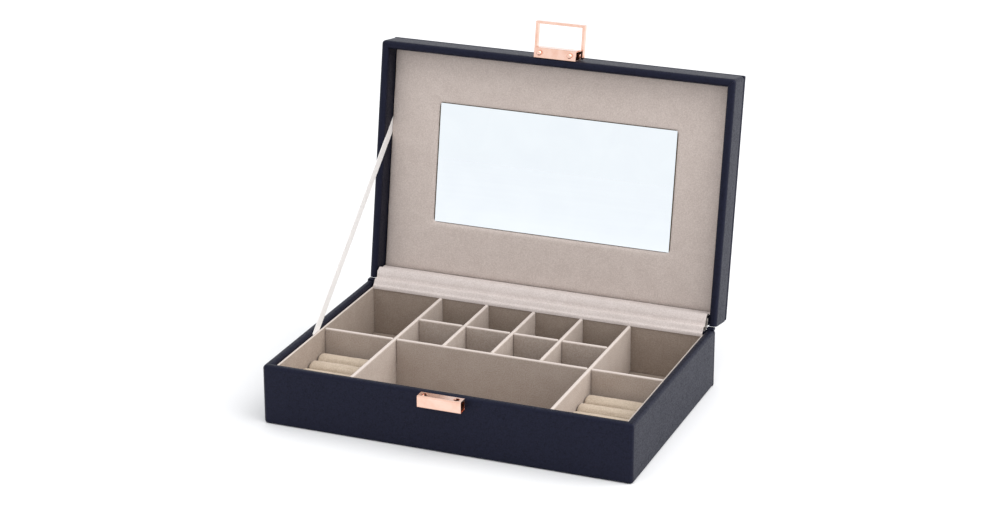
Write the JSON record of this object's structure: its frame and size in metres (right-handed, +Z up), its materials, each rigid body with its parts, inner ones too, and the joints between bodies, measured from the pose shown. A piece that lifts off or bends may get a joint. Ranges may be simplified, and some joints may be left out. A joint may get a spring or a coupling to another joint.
{
  "type": "jewelry gift box",
  "caption": "Rectangular hinged jewelry box with a divided tray, ring rolls, a mirror in the raised lid, a side ribbon and a swinging loop clasp.",
  "frame": {"origin": "middle of the underside of the base, on the surface the box stands on", "axes": "+X along the long side to the right, -Y towards the front with the clasp, +Z up"},
  "size_m": [0.28, 0.2495, 0.252],
  "materials": {
    "case_leather": "fine grain, satin",
    "tray_velour": "short pile, matte",
    "panel_velour": "short pile, matte",
    "roll_foam": "brushed, matte",
    "satin": "satin",
    "board": "raw fibre board, hidden",
    "mirror_glass": "polished",
    "hinge_steel": "plain sheet",
    "rose_gold": "polished rose gold plate"
  },
  "bodies": {
    "base": {"base_bottom_board": "case_leather", "base_front_wall": "case_leather", "base_left_wall": "case_leather", "base_right_wall": "case_leather", "base_back_wall": "case_leather", "base_back_cover": "case_leather", "tray_floor": "tray_velour", "tray_front_liner": "tray_velour", "tray_back_liner": "tray_velour", "tray_left_liner": "tray_velour", "tray_right_liner": "tray_velour", "long_divider": "tray_velour", "cross_divider_left": "tray_velour", "cross_divider_right": "tray_velour", "row_divider": "tray_velour", "short_divider_1": "tray_velour", "short_divider_2": "tray_velour", "short_divider_3": "tray_velour", "ring_roll_left_1": "roll_foam", "ring_roll_left_2": "roll_foam", "ring_roll_left_3": "roll_foam", "ring_roll_left_4": "roll_foam", "ring_roll_left_5": "roll_foam", "ring_roll_right_1": "roll_foam", "ring_roll_right_2": "roll_foam", "ring_roll_right_3": "roll_foam", "ring_roll_right_4": "roll_foam", "ring_roll_right_5": "roll_foam", "catch_channel": "rose_gold", "catch_rivets": "rose_gold", "hinge_base_leaf": "hinge_steel", "hinge_base_nails": "hinge_steel", "hinge_pin": "hinge_steel", "hinge_gusset": "panel_velour", "stay_ribbon": "satin"},
    "lid": {"lid_top_cover": "case_leather", "lid_front_wall": "case_leather", "lid_left_wall": "case_leather", "lid_right_wall": "case_leather", "lid_back_wall": "case_leather", "lid_core_board": "board", "mirror_backing": "board", "mirror": "mirror_glass", "padded_panel": "panel_velour", "hinge_lid_leaf": "hinge_steel", "hinge_lid_nails": "hinge_steel", "clasp_channel": "rose_gold", "clasp_studs": "rose_gold", "clasp_rivets": "rose_gold", "clasp_pin": "rose_gold"},
    "clasp_loop": {"clasp_frame": "rose_gold"}
  },
  "joints": [
    {"name": "lid_hinge", "type": "hinge", "parent": "base", "child": "lid", "pos_m": [0, 0.0926, 0.0455], "axis": [1, 0, 0], "range_deg": [0, 99.5], "deforming": ["stay_ribbon", "hinge_gusset"]},
    {"name": "clasp_swing", "type": "hinge", "parent": "lid", "child": "clasp_loop", "pos_m": [0, 0.13425, 0.22833], "axis": [1, 0, 0], "range_deg": [0, 90]}
  ]
}
